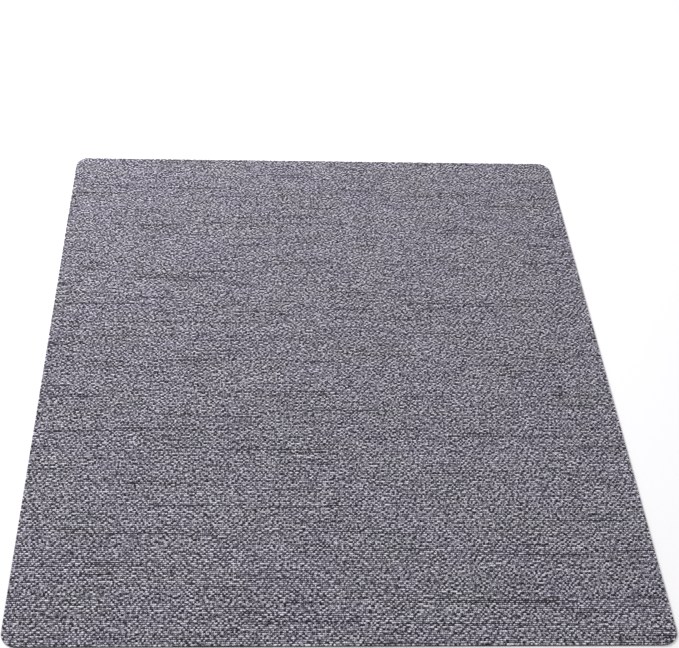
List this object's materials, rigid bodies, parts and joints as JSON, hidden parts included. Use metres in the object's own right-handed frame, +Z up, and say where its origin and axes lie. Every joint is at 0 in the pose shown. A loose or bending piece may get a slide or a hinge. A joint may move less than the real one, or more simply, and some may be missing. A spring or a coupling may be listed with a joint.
{
  "type": "chair mat",
  "caption": "Rectangular desk-chair floor mat with rounded corners: low loop pile in straight rows on a woven cloth with a rubber grip underside.",
  "frame": {"origin": "centre of the underside, on the floor", "axes": "+X along the rows of pile, the short side of the mat; +Y along the long side, away from the front edge, the one nearest the viewer in the picture; +Z up, out of the pile"},
  "size_m": [1.2192, 1.524, 0.0042],
  "materials": {
    "pile_yarn": "heathered grey looped polyester yarn, matt",
    "primary_cloth": "plain-woven dark grey cloth, matt",
    "tie_adhesive": "dried latex, dull",
    "grip_rubber": "moulded anti-slip rubber, matt"
  },
  "bodies": {
    "root": {"face_yarns_01": "pile_yarn", "face_yarns_02": "pile_yarn", "face_yarns_03": "pile_yarn", "face_yarns_04": "pile_yarn", "face_yarns_05": "pile_yarn", "face_yarns_06": "pile_yarn", "face_yarns_07": "pile_yarn", "face_yarns_08": "pile_yarn", "face_yarns_09": "pile_yarn", "face_yarns_10": "pile_yarn", "face_yarns_11": "pile_yarn", "face_yarns_12": "pile_yarn", "face_yarns_13": "pile_yarn", "face_yarns_14": "pile_yarn", "face_yarns_15": "pile_yarn", "face_yarns_16": "pile_yarn", "primary_backing": "primary_cloth", "tie_coat": "tie_adhesive", "grip_backing": "grip_rubber"}
  },
  "joints": []
}
